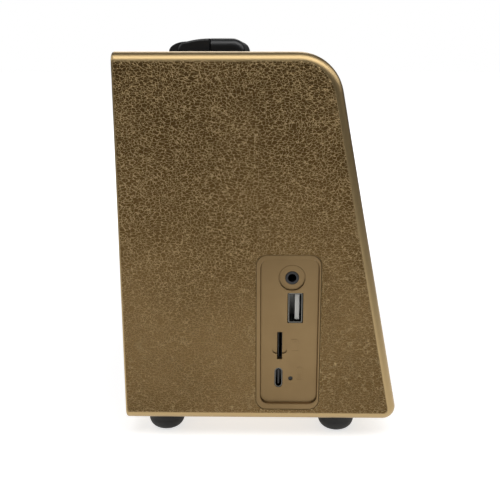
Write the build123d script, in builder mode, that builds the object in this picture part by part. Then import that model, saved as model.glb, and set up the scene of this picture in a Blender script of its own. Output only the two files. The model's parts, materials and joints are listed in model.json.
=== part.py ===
"""Karaoke speaker with a sloping front, a folding carry handle and a side panel of sockets.

Millimetres, +Z up, front towards -Y. The origin is on the floor, under the middle of the case:
x = 0 is halfway across the width, y = 0 halfway through the depth, z = 0 under the feet.
"""

from build123d import *
from math import asin, atan2, cos, degrees, sin, tan
import os

os.makedirs("parts", exist_ok=True)

# ---------------------------------------------------------------- driving dimensions
WIDTH = 240.0
BODY_HEIGHT = 157.8
DEPTH_BOTTOM = 120.2
DEPTH_TOP = 89.3
FOOT_HEIGHT = 9.0
WALL = 2.6
EDGE_ROUND = 4.5
TOP_FRONT_ROUND = 19.0
BOTTOM_FRONT_ROUND = 5.5
REAR_LIP_ROUND = 1.2

# The case in its own frame. The rounding at the bottom of the sloping front draws the nose in.
SLOPE = atan2(DEPTH_BOTTOM - DEPTH_TOP, BODY_HEIGHT)
NOSE_LOSS = BOTTOM_FRONT_ROUND * (tan(SLOPE) + 1 / cos(SLOPE) - 1)
BACK = (DEPTH_BOTTOM - NOSE_LOSS) / 2
FRONT = BACK - DEPTH_BOTTOM
BOTTOM = FOOT_HEIGHT
TOP = BOTTOM + BODY_HEIGHT
HALF_WIDTH = WIDTH / 2

# Sloping front: the opening, the grille and the baffle lie parallel to it.
OPENING_WIDTH, OPENING_HEIGHT, OPENING_ROUND = 216.0, 124.0, 14.0
OPENING_MIDDLE = 76.0
FRONT_FRAME = 4.5
GRILLE_GAP = 0.3
GRILLE_RECESS = 0.9
GRILLE_SHEET = 1.0
BAFFLE_THICKNESS = 3.0
BAFFLE_MARGIN = 6.5

# Rear cover, set into the case on a ledge with a foam seal.
COVER_RECESS = 1.2
COVER_THICKNESS = 2.6
COVER_GAP = 0.3
SEAL_THICKNESS, SEAL_INSET = 0.5, 0.5
LEDGE_WIDTH = 9.0
LEDGE_THICKNESS = 2.5
COVER_BOSS_LENGTH = 9.2
COVER_SCREW_LENGTH = 9.0
COVER_SCREW_INSET = 5.5

# Full-range drivers.
DRIVER_X = 54.0
DRIVER_S = 72.0
FLANGE_R = 42.0
CONE_HOLE_R = 33.3
DRIVER_SCREW_R = 37.8
CAP_SPHERE_R, CAP_RIM_R, CAP_TOP, CAP_SHEET = 23.4, 13.4, -5.0, 0.6

# Passive radiator in the rear cover.
RADIATOR_Z = 84.0
RADIATOR_HOLE_R = 38.0
RADIATOR_FRAME_R = 46.0

# Carry handle, measured from the back of the case (f) and from its top face (h).
HANDLE_HALF = 70.0
ARM_WIDTH = 12.0
PIVOT_F, PIVOT_H = 25.3, 0.5
KNUCKLE_R = 3.9
ARM_END_F = 36.0
GRIP_REAR_F, GRIP_FRONT_F = 36.4, 52.0
GRIP_TOP_H, GRIP_BOTTOM_H = 5.9, -5.2
CORE_FRONT_F, CORE_TOP_H, CORE_BOTTOM_H = 47.5, 2.8, -2.2
PIN_R = 1.5
PIN_CLEARANCE = 0.05
TOWER_OUTER_X, TOWER_INNER_X = 57.5, 49.0
TOWER_MIDDLE_F, TOWER_HALF_F, TOWER_H = 24.5, 8.6, 4.6

# Tray that lines the handle's well.
WELL_HALF, WELL_REAR_F, WELL_FRONT_F, WELL_DEPTH, WELL_ROUND = 75.5, 15.6, 57.2, 15.0, 3.5
TRAY_WALL = 1.8
FLANGE_THICKNESS = 1.2
FLANGE_HALF, FLANGE_REAR_F, FLANGE_FRONT_F = 81.0, 11.6, 61.0

# Control strip in front of the handle.
STRIP_HALF, STRIP_REAR_F, STRIP_FRONT_F = 72.0, 62.4, 72.8
STRIP_LIP = 1.7
STRIP_THICKNESS = 2.8
BUTTON_NAMES = ("power", "mode", "previous", "play", "next", "echo")
BUTTON_PITCH = 23.0
BUTTON_LENGTH, BUTTON_DEPTH = 15.0, 5.0
BUTTON_GAP = 0.25
BUTTON_TRAVEL = 0.5
SWITCH_SIDE, SWITCH_HEIGHT = 6.0, 3.4
BOARD_THICKNESS = 1.6
BUTTON_BOARD_H = -10.6

# Socket panel in the left side wall, measured from the back (f) and from the case's bottom (v).
PANEL_F, PANEL_V, PANEL_WIDTH, PANEL_HEIGHT, PANEL_ROUND = 71.2, 40.6, 27.6, 70.2, 4.6
FLOOR_F, FLOOR_V, FLOOR_WIDTH, FLOOR_HEIGHT, FLOOR_ROUND = 71.7, 41.0, 24.1, 65.2, 3.6
PANEL_RECESS = 1.5
PANEL_BACK = 3.3
PANEL_DRAFT = 0.35
JACK_F, JACK_V, JACK_R, JACK_BORE_R, JACK_RING_R, JACK_RING_DEPTH = 72.7, 65.1, 2.9, 1.8, 5.4, 0.8
JACK_BORE_LENGTH = 14.0
USB_F, USB_V, USB_LONG, USB_SHORT, USB_SHEET = 74.2, 51.9, 13.1, 5.9, 0.35
USB_PLAY = 0.8
USB_TONGUE_F, USB_TONGUE_LONG, USB_TONGUE_SHORT = 75.0, 11.1, 1.84
CARD_F, CARD_V, CARD_SLOT_LONG, CARD_SLOT_SHORT = 67.7, 34.8, 12.5, 2.2
USBC_F, USBC_V, USBC_LONG, USBC_SHORT, USBC_SHEET = 67.3, 20.0, 8.94, 3.26, 0.3
LIGHT_F, LIGHT_V, LIGHT_R = 72.5, 19.6, 1.0
SOCKET_PLAY = 0.3
IO_BOARD_F, IO_BOARD_THICKNESS = 69.2, 1.2

# Feet.
FOOT_R, FOOT_FLAT_R = 8.0, 5.0
FOOT_INSET = 14.5
FOOT_REAR_F, FOOT_FRONT_F = 16.5, 94.0

# Boards and battery inside.
MAIN_BOARD_Z = BOTTOM + WALL + 6.0
MAIN_BOARD_X, MAIN_BOARD_Y = 130.0, 42.0
MAIN_BOARD_MIDDLE_Y = 22.0
CELL_R, CELL_LENGTH = 9.2, 65.0
CELL_PITCH = 19.4
BATTERY_Y = -24.0


def y_of(f):
    """The y of a point f in front of the case's back face."""
    return BACK - f


def side_corners(inset, back):
    """The case's outline from the side as (y, z), moved inwards by inset and closed at y = back."""
    low, high = BOTTOM + inset, TOP - inset

    def front(z):
        return FRONT + (z - BOTTOM) * tan(SLOPE) + inset / cos(SLOPE)

    return [(back, low), (back, high), (front(high), high), (front(low), low)]


def front_plane(depth):
    """The plane parallel to the sloping front, depth inside it; its y runs up the slope."""
    return Plane(
        origin=(0, FRONT + depth * cos(SLOPE), BOTTOM - depth * sin(SLOPE)),
        x_dir=(1, 0, 0),
        z_dir=(0, -cos(SLOPE), sin(SLOPE)),
    )


def round_section(centre, outward):
    """The plane through a round part's axis: x is the radius, y is outward along the axis."""
    return Plane(origin=centre, x_dir=(1, 0, 0), z_dir=Vector(1, 0, 0).cross(outward))


def keep(part, name):
    """Labels a finished piece and writes its STEP file."""
    part.label = name
    export_step(part, f"parts/{name}.step")


# ---------------------------------------------------------------- positions that several pieces share
COVER_OUTER_Y = BACK - COVER_RECESS
COVER_INNER_Y = COVER_OUTER_Y - COVER_THICKNESS
LEDGE_Y = COVER_INNER_Y - SEAL_THICKNESS
CAVITY_HALF = HALF_WIDTH - WALL
CAVITY_MIDDLE_Z = (BOTTOM + TOP) / 2
CAVITY_HEIGHT = BODY_HEIGHT - 2 * WALL

cover_screw_x = CAVITY_HALF - COVER_SCREW_INSET
cover_screw_z = CAVITY_HEIGHT / 2 - COVER_SCREW_INSET
cover_screws_at = [(x, z) for x in (-cover_screw_x, 0, cover_screw_x) for z in (-cover_screw_z, cover_screw_z)]
cover_screws_at += [(-cover_screw_x, 0), (cover_screw_x, 0)]

baffle_screw_x = OPENING_WIDTH / 2 + BAFFLE_MARGIN / 2
baffle_screw_s = OPENING_HEIGHT / 2 + BAFFLE_MARGIN / 2
baffle_screws_at = [(x, s) for x in (-62.0, 62.0) for s in (-baffle_screw_s, baffle_screw_s)]
baffle_screws_at += [(-baffle_screw_x, 0), (baffle_screw_x, 0)]

feet_at = {
    "foot_front_left": (-(HALF_WIDTH - FOOT_INSET), y_of(FOOT_FRONT_F)),
    "foot_front_right": (HALF_WIDTH - FOOT_INSET, y_of(FOOT_FRONT_F)),
    "foot_rear_left": (-(HALF_WIDTH - FOOT_INSET), y_of(FOOT_REAR_F)),
    "foot_rear_right": (HALF_WIDTH - FOOT_INSET, y_of(FOOT_REAR_F)),
}

board_posts_at = [
    (x, MAIN_BOARD_MIDDLE_Y + y)
    for x in (-MAIN_BOARD_X / 2 + 5, MAIN_BOARD_X / 2 - 5)
    for y in (-MAIN_BOARD_Y / 2 + 5, MAIN_BOARD_Y / 2 - 5)
]

tray_middle_y = y_of((FLANGE_REAR_F + FLANGE_FRONT_F) / 2)
well_middle_y = y_of((WELL_REAR_F + WELL_FRONT_F) / 2)
well_length_y = WELL_FRONT_F - WELL_REAR_F
strip_middle_y = y_of((STRIP_REAR_F + STRIP_FRONT_F) / 2)
strip_length_y = STRIP_FRONT_F - STRIP_REAR_F
buttons_x = [(i - (len(BUTTON_NAMES) - 1) / 2) * BUTTON_PITCH for i in range(len(BUTTON_NAMES))]
button_board_posts_x = STRIP_HALF + 3.0
button_board_top = TOP + BUTTON_BOARD_H + BOARD_THICKNESS

pivot_y, pivot_z = y_of(PIVOT_F), TOP + PIVOT_H

# ---------------------------------------------------------------- main shell
with BuildPart() as main_shell:
    with BuildSketch(Plane.YZ.offset(-HALF_WIDTH)) as outer_side:
        with BuildLine():
            Polyline(*side_corners(0, BACK), close=True)
        make_face()
        fillet(outer_side.vertices().sort_by(Axis.Y)[-2:].sort_by(Axis.X)[0], TOP_FRONT_ROUND)
        fillet(outer_side.vertices().sort_by(Axis.X)[0], BOTTOM_FRONT_ROUND)
    extrude(amount=WIDTH)
    side_edges = main_shell.faces().filter_by(Axis.X).edges()
    fillet(side_edges.filter_by_position(Axis.Y, FRONT - 1, BACK - 0.1), EDGE_ROUND)
    rear_lip = main_shell.faces().sort_by(Axis.Y)[-1].edges()
    fillet(rear_lip, REAR_LIP_ROUND)
    # The inside, open at the back.
    with BuildSketch(Plane.YZ.offset(-CAVITY_HALF)) as inner_side:
        with BuildLine():
            Polyline(*side_corners(WALL, BACK + 1), close=True)
        make_face()
        fillet(inner_side.vertices().sort_by(Axis.Y)[-2:].sort_by(Axis.X)[0], TOP_FRONT_ROUND - WALL)
        fillet(inner_side.vertices().sort_by(Axis.X)[0], BOTTOM_FRONT_ROUND - WALL)
    extrude(amount=2 * CAVITY_HALF, mode=Mode.SUBTRACT)
    # Thicker frame inside the front, which the baffle is screwed to.
    with BuildSketch(front_plane(FRONT_FRAME)):
        with Locations((0, OPENING_MIDDLE)):
            RectangleRounded(
                OPENING_WIDTH + 2 * BAFFLE_MARGIN, OPENING_HEIGHT + 2 * BAFFLE_MARGIN, OPENING_ROUND + 3
            )
    extrude(amount=FRONT_FRAME - WALL + 0.5)
    with BuildSketch(front_plane(-1)):
        with Locations((0, OPENING_MIDDLE)):
            RectangleRounded(OPENING_WIDTH, OPENING_HEIGHT, OPENING_ROUND)
    extrude(amount=-(FRONT_FRAME + 2), mode=Mode.SUBTRACT)
    with BuildSketch(front_plane(FRONT_FRAME)):
        with Locations((0, OPENING_MIDDLE)):
            with Locations(*baffle_screws_at):
                Circle(1.1)
    extrude(amount=3.0, mode=Mode.SUBTRACT)
    # Ledge and screw bosses for the rear cover.
    with BuildSketch(Plane.XZ.offset(-LEDGE_Y)):
        with Locations((0, CAVITY_MIDDLE_Z)):
            Rectangle(2 * CAVITY_HALF + 1, CAVITY_HEIGHT + 1)
            Rectangle(2 * (CAVITY_HALF - LEDGE_WIDTH), CAVITY_HEIGHT - 2 * LEDGE_WIDTH, mode=Mode.SUBTRACT)
    extrude(amount=LEDGE_THICKNESS)
    with BuildSketch(Plane.XZ.offset(-LEDGE_Y)):
        with Locations((0, CAVITY_MIDDLE_Z)):
            with Locations(*cover_screws_at):
                Circle(3.8)
    extrude(amount=COVER_BOSS_LENGTH)
    with BuildSketch(Plane.XZ.offset(-LEDGE_Y)):
        with Locations((0, CAVITY_MIDDLE_Z)):
            with Locations(*cover_screws_at):
                Circle(1.25)
    extrude(amount=COVER_BOSS_LENGTH - 0.8, mode=Mode.SUBTRACT)
    # Posts for the main board and bosses over the feet.
    with BuildSketch(Plane.XY.offset(BOTTOM + WALL - 0.5)):
        with Locations(*board_posts_at):
            Circle(3.2)
    extrude(amount=MAIN_BOARD_Z - BOTTOM - WALL + 0.5)
    with BuildSketch(Plane.XY.offset(BOTTOM + WALL - 0.5)):
        with Locations(*feet_at.values()):
            Circle(4.2)
    extrude(amount=6.5)
    with BuildSketch(Plane.XY.offset(MAIN_BOARD_Z)):
        with Locations(*board_posts_at):
            Circle(1.1)
    extrude(amount=-5.0, mode=Mode.SUBTRACT)
    with BuildSketch(Plane.XY.offset(BOTTOM)):
        with Locations(*feet_at.values()):
            Circle(1.3)
    extrude(amount=9.0, mode=Mode.SUBTRACT)
    # Top: rebate and opening for the handle tray, then for the control strip.
    with BuildSketch(Plane.XY.offset(TOP)):
        with Locations((0, tray_middle_y)):
            RectangleRounded(2 * FLANGE_HALF + 0.3, FLANGE_FRONT_F - FLANGE_REAR_F + 0.3, 5.15)
    extrude(amount=-FLANGE_THICKNESS, mode=Mode.SUBTRACT)
    with BuildSketch(Plane.XY.offset(TOP)):
        with Locations((0, well_middle_y)):
            RectangleRounded(
                2 * (WELL_HALF + TRAY_WALL) + 0.4, well_length_y + 2 * TRAY_WALL + 0.4, WELL_ROUND + TRAY_WALL
            )
    extrude(amount=-(WALL + 1), mode=Mode.SUBTRACT)
    with BuildSketch(Plane.XY.offset(TOP)):
        with Locations((0, strip_middle_y)):
            RectangleRounded(2 * STRIP_HALF + 0.3, strip_length_y + 0.3, 2.65)
    extrude(amount=-FLANGE_THICKNESS, mode=Mode.SUBTRACT)
    with BuildSketch(Plane.XY.offset(TOP)):
        with Locations((0, strip_middle_y)):
            RectangleRounded(2 * (STRIP_HALF - STRIP_LIP) + 0.3, strip_length_y - 2 * STRIP_LIP + 0.3, 1.6)
    extrude(amount=-(WALL + 1), mode=Mode.SUBTRACT)
    # Posts that hold the button board.
    with BuildSketch(Plane.XY.offset(button_board_top)):
        with Locations((-button_board_posts_x, strip_middle_y), (button_board_posts_x, strip_middle_y)):
            Circle(2.6)
    extrude(amount=TOP - WALL + 0.5 - button_board_top)
    # Opening for the socket panel in the left wall.
    with BuildSketch(Plane.YZ.offset(-HALF_WIDTH - 1)):
        with Locations((y_of(PANEL_F), BOTTOM + PANEL_V)):
            RectangleRounded(PANEL_WIDTH, PANEL_HEIGHT, PANEL_ROUND)
    extrude(amount=WALL + 2, mode=Mode.SUBTRACT)
keep(main_shell.part, "main_shell")

# ---------------------------------------------------------------- rear cover, its seal and screws
with BuildPart() as rear_cover:
    with BuildSketch(Plane.XZ.offset(-COVER_OUTER_Y)):
        with Locations((0, CAVITY_MIDDLE_Z)):
            RectangleRounded(2 * (CAVITY_HALF - COVER_GAP), CAVITY_HEIGHT - 2 * COVER_GAP, 1.5)
    extrude(amount=COVER_THICKNESS)
    # Moulded field, slightly sunk, so that the rim stands round it.
    with BuildSketch(Plane.XZ.offset(-COVER_OUTER_Y)):
        with Locations((0, CAVITY_MIDDLE_Z)):
            RectangleRounded(2 * (CAVITY_HALF - 14), CAVITY_HEIGHT - 28, 10)
    extrude(amount=0.6, mode=Mode.SUBTRACT)
    with BuildSketch(Plane.XZ.offset(-COVER_OUTER_Y)):
        with Locations((0, RADIATOR_Z)):
            Circle(RADIATOR_HOLE_R + 5)
    extrude(amount=0.9)
    with BuildSketch(Plane.XZ.offset(-COVER_OUTER_Y - 1)):
        with Locations((0, RADIATOR_Z)):
            Circle(RADIATOR_HOLE_R)
    extrude(amount=COVER_THICKNESS + 2, mode=Mode.SUBTRACT)
    with BuildSketch(Plane.XZ.offset(-COVER_OUTER_Y)):
        with Locations((0, CAVITY_MIDDLE_Z)):
            with Locations(*cover_screws_at):
                Circle(3.1)
    extrude(amount=1.3, mode=Mode.SUBTRACT)
    with BuildSketch(Plane.XZ.offset(-COVER_OUTER_Y)):
        with Locations((0, CAVITY_MIDDLE_Z)):
            with Locations(*cover_screws_at):
                Circle(1.7)
    extrude(amount=COVER_THICKNESS + 1, mode=Mode.SUBTRACT)
keep(rear_cover.part, "rear_cover")

with BuildPart() as rear_seal:
    with BuildSketch(Plane.XZ.offset(-COVER_INNER_Y)):
        with Locations((0, CAVITY_MIDDLE_Z)):
            Rectangle(2 * (CAVITY_HALF - SEAL_INSET), CAVITY_HEIGHT - 2 * SEAL_INSET)
            seal_inner = LEDGE_WIDTH - SEAL_INSET
            Rectangle(2 * (CAVITY_HALF - seal_inner), CAVITY_HEIGHT - 2 * seal_inner, mode=Mode.SUBTRACT)
            with Locations(*cover_screws_at):
                Circle(2.0, mode=Mode.SUBTRACT)
    extrude(amount=SEAL_THICKNESS)
keep(rear_seal.part, "rear_seal")


def screw(plane, places, head_r, head_height, shank_r, shank_length):
    """Pan-head screws with crossed recesses: heads start on plane and stand out along its z."""
    with BuildPart() as screws:
        with BuildSketch(plane):
            with Locations(*places):
                Circle(head_r)
        extrude(amount=head_height)
        crowns = screws.faces().filter_by(Axis(plane.origin, plane.z_dir)).group_by(
            Axis(plane.origin, plane.z_dir)
        )[-1]
        fillet(crowns.edges(), head_height * 0.45)
        with BuildSketch(plane.offset(head_height)):
            with Locations(*places):
                Rectangle(head_r * 1.15, head_r * 0.24)
                Rectangle(head_r * 0.24, head_r * 1.15)
        extrude(amount=-head_height * 0.6, mode=Mode.SUBTRACT)
        with BuildSketch(plane):
            with Locations(*places):
                Circle(shank_r)
        extrude(amount=-shank_length)
    return screws.part


cover_screw_plane = Plane(origin=(0, COVER_OUTER_Y - 1.3, CAVITY_MIDDLE_Z), x_dir=(1, 0, 0), z_dir=(0, 1, 0))
cover_screws_mirrored = [(x, -z) for x, z in cover_screws_at]
keep(screw(cover_screw_plane, cover_screws_mirrored, 2.8, 1.2, 1.2, COVER_SCREW_LENGTH), "rear_cover_screws")

# ---------------------------------------------------------------- grille and baffle
with BuildPart() as front_grille:
    with BuildSketch(front_plane(GRILLE_RECESS)):
        with Locations((0, OPENING_MIDDLE)):
            RectangleRounded(
                OPENING_WIDTH - 2 * GRILLE_GAP, OPENING_HEIGHT - 2 * GRILLE_GAP, OPENING_ROUND - GRILLE_GAP
            )
    extrude(amount=-(FRONT_FRAME - GRILLE_RECESS))
    front_edges = front_grille.faces().filter_by(Axis((0, 0, 0), front_plane(0).z_dir)).sort_by(
        Axis((0, 0, 0), front_plane(0).z_dir)
    )[-1].edges()
    fillet(front_edges, 0.9)
    with BuildSketch(front_plane(GRILLE_RECESS + GRILLE_SHEET)):
        with Locations((0, OPENING_MIDDLE)):
            RectangleRounded(
                OPENING_WIDTH - 2 * (GRILLE_GAP + GRILLE_SHEET),
                OPENING_HEIGHT - 2 * (GRILLE_GAP + GRILLE_SHEET),
                OPENING_ROUND - GRILLE_GAP - GRILLE_SHEET,
            )
    extrude(amount=-FRONT_FRAME, mode=Mode.SUBTRACT)
keep(front_grille.part, "front_grille")

driver_screws_at = [
    (x + r * DRIVER_SCREW_R * cos(0.785398), DRIVER_S + q * DRIVER_SCREW_R * sin(0.785398))
    for x in (-DRIVER_X, DRIVER_X)
    for r in (-1, 1)
    for q in (-1, 1)
]

with BuildPart() as front_baffle:
    with BuildSketch(front_plane(FRONT_FRAME)):
        with Locations((0, OPENING_MIDDLE)):
            RectangleRounded(
                OPENING_WIDTH + 2 * BAFFLE_MARGIN - 1, OPENING_HEIGHT + 2 * BAFFLE_MARGIN - 1, OPENING_ROUND + 2
            )
        with Locations((-DRIVER_X, DRIVER_S), (DRIVER_X, DRIVER_S)):
            Circle(CONE_HOLE_R, mode=Mode.SUBTRACT)
        with Locations((0, OPENING_MIDDLE)):
            with Locations(*baffle_screws_at):
                Circle(1.5, mode=Mode.SUBTRACT)
        with Locations(*driver_screws_at):
            Circle(1.0, mode=Mode.SUBTRACT)
    extrude(amount=-BAFFLE_THICKNESS)
    cone_rims = front_baffle.edges().filter_by(GeomType.CIRCLE).group_by(SortBy.RADIUS)[-1]
    fillet(cone_rims.sort_by(Axis((0, 0, 0), front_plane(0).z_dir))[-2:], 1.5)
keep(front_baffle.part, "front_baffle")

# Screws that hold the baffle, driven from behind.
baffle_back = front_plane(FRONT_FRAME + BAFFLE_THICKNESS)
baffle_screw_plane = Plane(
    origin=baffle_back.from_local_coords((0, OPENING_MIDDLE, 0)), x_dir=(1, 0, 0), z_dir=-baffle_back.z_dir
)
keep(
    screw(baffle_screw_plane, [(x, -s) for x, s in baffle_screws_at], 2.6, 1.8, 1.05, 5.5),
    "baffle_screws",
)


# ---------------------------------------------------------------- drivers
def driver(side, x):
    """A full-range driver behind the baffle: frame, magnet, cone, surround, spider and dust cap."""
    outward = front_plane(0).z_dir
    centre = front_plane(FRONT_FRAME + BAFFLE_THICKNESS).from_local_coords((x, DRIVER_S, 0))
    axis = Axis(centre, outward)
    section = round_section(centre, outward)
    flange_face = front_plane(FRONT_FRAME + BAFFLE_THICKNESS)

    with BuildPart() as basket:
        with BuildSketch(section):
            with BuildLine():
                Polyline(
                    (FLANGE_R, 0),
                    (FLANGE_R, -2.0),
                    (34.5, -2.0),
                    (24.5, -21.0),
                    (24.5, -23.5),
                    (10.5, -23.5),
                    (10.5, -22.0),
                    (20.0, -22.0),
                    (20.0, -16.5),
                    (21.6, -16.5),
                    (30.5, -1.0),
                    (35.5, -1.0),
                    (35.5, 0),
                    close=True,
                )
            make_face()
        revolve(axis=axis)
        # Windows between the frame's four legs.
        windows = Plane(origin=centre - outward * 4.0, x_dir=(1, 0, 0), z_dir=-outward)
        with BuildSketch(windows):
            with PolarLocations(0, 4, start_angle=0):
                with Locations((27.0, 0)):
                    RectangleRounded(22.0, 26.0, 4.0)
        extrude(amount=11.5, mode=Mode.SUBTRACT)
        with BuildSketch(flange_face):
            with Locations((x, DRIVER_S)):
                with PolarLocations(DRIVER_SCREW_R, 4, start_angle=45):
                    Circle(1.5)
        extrude(amount=-3, mode=Mode.SUBTRACT)
    keep(basket.part, f"driver_{side}_basket")

    with BuildPart() as magnet:
        with BuildSketch(section):
            with BuildLine():
                Polyline((9.0, -23.5), (22.0, -23.5), (22.0, -27.5), (9.0, -27.5), close=True)
            make_face()
            with BuildLine():
                Polyline((12.5, -27.5), (25.0, -27.5), (25.0, -37.5), (12.5, -37.5), close=True)
            make_face()
            with BuildLine():
                Polyline((0, -23.8), (7.0, -23.8), (7.0, -37.5), (22.0, -37.5), (22.0, -41.0), (0, -41.0), close=True)
            make_face()
        revolve(axis=axis)
        fillet(magnet.edges().filter_by(GeomType.CIRCLE).sort_by(axis)[0], 1.0)
    keep(magnet.part, f"driver_{side}_magnet")

    with BuildPart() as cone:
        with BuildSketch(section):
            with BuildLine():
                Polyline(
                    (27.5, -0.8),
                    (28.6, -0.8),
                    (28.6, -1.4),
                    (27.9, -1.4),
                    (8.4, -13.6),
                    (8.4, -30.0),
                    (7.8, -30.0),
                    (7.8, -13.2),
                    close=True,
                )
            make_face()
        revolve(axis=axis)
    keep(cone.part, f"driver_{side}_cone")

    with BuildPart() as dust_cap:
        with BuildSketch(section):
            spread = degrees(asin(CAP_RIM_R / CAP_SPHERE_R))
            cap_middle = (0, CAP_TOP - CAP_SPHERE_R)
            with BuildLine():
                outer = CenterArc(cap_middle, CAP_SPHERE_R, 90 - spread, spread)
                inner = CenterArc(cap_middle, CAP_SPHERE_R - CAP_SHEET, 90 - spread, spread)
                Line(outer @ 0, inner @ 0)
                Line(outer @ 1, inner @ 1)
            make_face()
        revolve(axis=axis)
    keep(dust_cap.part, f"driver_{side}_dust_cap")

    with BuildPart() as surround:
        with BuildSketch(section):
            with BuildLine():
                lip = Polyline((35.3, -0.3), (33.0, -0.3))
                roll = ThreePointArc(lip @ 1, (30.6, 2.6), (28.2, -0.3))
                under = Polyline(roll @ 1, (26.6, -0.3), (26.6, -0.8), (28.7, -0.8))
                inside = ThreePointArc(under @ 1, (30.6, 2.1), (32.5, -0.9))
                Polyline(inside @ 1, (35.3, -0.9), lip @ 0)
            make_face()
        revolve(axis=axis)
    keep(surround.part, f"driver_{side}_surround")

    with BuildPart() as spider:
        with BuildSketch(section):
            waves = 5
            start, end = 8.5, 19.9
            pitch = (end - start) / waves
            with BuildLine():
                upper = [(start + i * pitch / 2, -16.6 + (0.8 if i % 2 else 0.0)) for i in range(2 * waves + 1)]
                lower = [(r, h - 0.5) for r, h in reversed(upper)]
                Polyline(*upper, *lower, close=True)
            make_face()
        revolve(axis=axis)
    keep(spider.part, f"driver_{side}_spider")


for driver_side, driver_x in (("left", -DRIVER_X), ("right", DRIVER_X)):
    driver(driver_side, driver_x)

driver_screw_plane = Plane(
    origin=front_plane(FRONT_FRAME + BAFFLE_THICKNESS + 2.0).origin, x_dir=(1, 0, 0), z_dir=-baffle_back.z_dir
)
keep(
    screw(driver_screw_plane, [(x, -s) for x, s in driver_screws_at], 2.2, 1.6, 0.95, 4.5),
    "driver_screws",
)

# ---------------------------------------------------------------- passive radiator
radiator_centre = Vector(0, COVER_INNER_Y, RADIATOR_Z)
radiator_axis = Axis(radiator_centre, (0, 1, 0))
radiator_section = round_section(radiator_centre, Vector(0, 1, 0))

with BuildPart() as radiator_frame:
    with BuildSketch(radiator_section):
        with BuildLine():
            Polyline(
                (RADIATOR_FRAME_R, 0),
                (RADIATOR_FRAME_R, -2.5),
                (40.0, -2.5),
                (37.0, -9.0),
                (34.6, -9.0),
                (34.6, -1.0),
                (40.5, -1.0),
                (40.5, 0),
                close=True,
            )
        make_face()
    revolve(axis=radiator_axis)
keep(radiator_frame.part, "radiator_frame")

with BuildPart() as radiator_surround:
    with BuildSketch(radiator_section):
        with BuildLine():
            rim = Polyline((40.2, -0.3), (37.0, -0.3))
            hump = ThreePointArc(rim @ 1, (33.6, 1.9), (30.2, -0.3))
            tuck = Polyline(hump @ 1, (27.4, -0.3), (27.4, -0.8), (30.6, -0.8))
            hollow = ThreePointArc(tuck @ 1, (33.6, 1.3), (36.6, -0.9))
            Polyline(hollow @ 1, (40.2, -0.9), rim @ 0)
        make_face()
    revolve(axis=radiator_axis)
keep(radiator_surround.part, "radiator_surround")

with BuildPart() as radiator_plate:
    with BuildSketch(radiator_section):
        with BuildLine():
            Polyline(
                (0, -3.0),
                (20.0, -3.0),
                (25.0, -0.8),
                (29.6, -0.8),
                (29.6, -2.0),
                (25.2, -2.0),
                (20.4, -4.2),
                (12.0, -4.2),
                (12.0, -8.0),
                (0, -8.0),
                close=True,
            )
        make_face()
    revolve(axis=radiator_axis)
keep(radiator_plate.part, "radiator_plate")

# ---------------------------------------------------------------- feet and their screws
for foot_name, (foot_x, foot_y) in feet_at.items():
    with BuildPart() as foot:
        with BuildSketch(Plane(origin=(foot_x, foot_y, 0), x_dir=(1, 0, 0), z_dir=(0, -1, 0))):
            with BuildLine():
                floor_line = Line((0, 0), (FOOT_FLAT_R, 0))
                bulge = ThreePointArc(floor_line @ 1, (7.3, 1.9), (FOOT_R, 5.2))
                Polyline(bulge @ 1, (FOOT_R, FOOT_HEIGHT), (0, FOOT_HEIGHT), floor_line @ 0)
            make_face()
        revolve(axis=Axis((foot_x, foot_y, 0), (0, 0, 1)))
        with BuildSketch(Plane.XY):
            with Locations((foot_x, foot_y)):
                Circle(3.0)
        extrude(amount=4.0, mode=Mode.SUBTRACT)
        with BuildSketch(Plane.XY):
            with Locations((foot_x, foot_y)):
                Circle(1.6)
        extrude(amount=FOOT_HEIGHT + 1, mode=Mode.SUBTRACT)
    keep(foot.part, foot_name)

foot_screw_plane = Plane(origin=(0, 0, 4.0), x_dir=(1, 0, 0), z_dir=(0, 0, -1))
keep(
    screw(foot_screw_plane, [(x, -y) for x, y in feet_at.values()], 2.6, 1.9, 1.25, 12.0),
    "foot_screws",
)

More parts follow.
